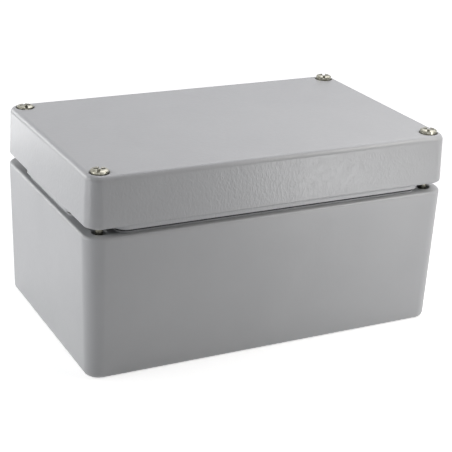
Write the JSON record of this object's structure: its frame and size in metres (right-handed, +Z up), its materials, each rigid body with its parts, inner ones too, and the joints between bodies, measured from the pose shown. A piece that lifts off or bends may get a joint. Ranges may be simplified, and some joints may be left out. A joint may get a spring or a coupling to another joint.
{
  "type": "die cast aluminium box",
  "caption": "Sealed rectangular die cast aluminium box: a drafted base and a lid on a rubber seal, held by captive corner screws, with wall fixing holes outside the seal.",
  "frame": {"origin": "centre of the underside of the base", "axes": "+X along the box's length, +Y from the front long side to the rear one, +Z up through the lid"},
  "size_m": [0.16, 0.1, 0.0851],
  "materials": {
    "painted_casting": "fine textured powder coat in light grey over die cast aluminium",
    "seal_rubber": "matt black rubber",
    "stainless_screw": "bright stainless steel",
    "nylon": "natural nylon",
    "plated_steel": "zinc plated steel"
  },
  "bodies": {
    "base": {"base": "painted_casting", "base_earth_screw": "plated_steel", "base_earth_lock_washer": "plated_steel", "base_earth_clamp": "plated_steel"},
    "lid": {"lid": "painted_casting", "gasket": "seal_rubber", "lid_earth_screw": "plated_steel", "lid_earth_lock_washer": "plated_steel", "lid_earth_clamp": "plated_steel"},
    "washer_front_left": {"retaining_washer_front_left": "nylon"},
    "screw_front_left": {"lid_screw_front_left": "stainless_screw"},
    "washer_front_right": {"retaining_washer_front_right": "nylon"},
    "screw_front_right": {"lid_screw_front_right": "stainless_screw"},
    "washer_rear_right": {"retaining_washer_rear_right": "nylon"},
    "screw_rear_right": {"lid_screw_rear_right": "stainless_screw"},
    "washer_rear_left": {"retaining_washer_rear_left": "nylon"},
    "screw_rear_left": {"lid_screw_rear_left": "stainless_screw"}
  },
  "joints": [
    {"name": "lid_lift", "type": "slide", "parent": "base", "child": "lid", "axis": [0, 0, 1], "range_m": [0, 0.08]},
    {"name": "screw_rise_front_left", "type": "slide", "parent": "lid", "child": "washer_front_left", "axis": [0, 0, 1], "range_m": [0, 0.0055]},
    {"name": "screw_turn_front_left", "type": "hinge", "parent": "washer_front_left", "child": "screw_front_left", "pos_m": [-0.0729, -0.0429, 0.0825], "axis": [0, 0, 1], "continuous": true},
    {"name": "screw_rise_front_right", "type": "slide", "parent": "lid", "child": "washer_front_right", "axis": [0, 0, 1], "range_m": [0, 0.0055]},
    {"name": "screw_turn_front_right", "type": "hinge", "parent": "washer_front_right", "child": "screw_front_right", "pos_m": [0.0729, -0.0429, 0.0825], "axis": [0, 0, 1], "continuous": true},
    {"name": "screw_rise_rear_right", "type": "slide", "parent": "lid", "child": "washer_rear_right", "axis": [0, 0, 1], "range_m": [0, 0.0055]},
    {"name": "screw_turn_rear_right", "type": "hinge", "parent": "washer_rear_right", "child": "screw_rear_right", "pos_m": [0.0729, 0.0429, 0.0825], "axis": [0, 0, 1], "continuous": true},
    {"name": "screw_rise_rear_left", "type": "slide", "parent": "lid", "child": "washer_rear_left", "axis": [0, 0, 1], "range_m": [0, 0.0055]},
    {"name": "screw_turn_rear_left", "type": "hinge", "parent": "washer_rear_left", "child": "screw_rear_left", "pos_m": [-0.0729, 0.0429, 0.0825], "axis": [0, 0, 1], "continuous": true}
  ]
}
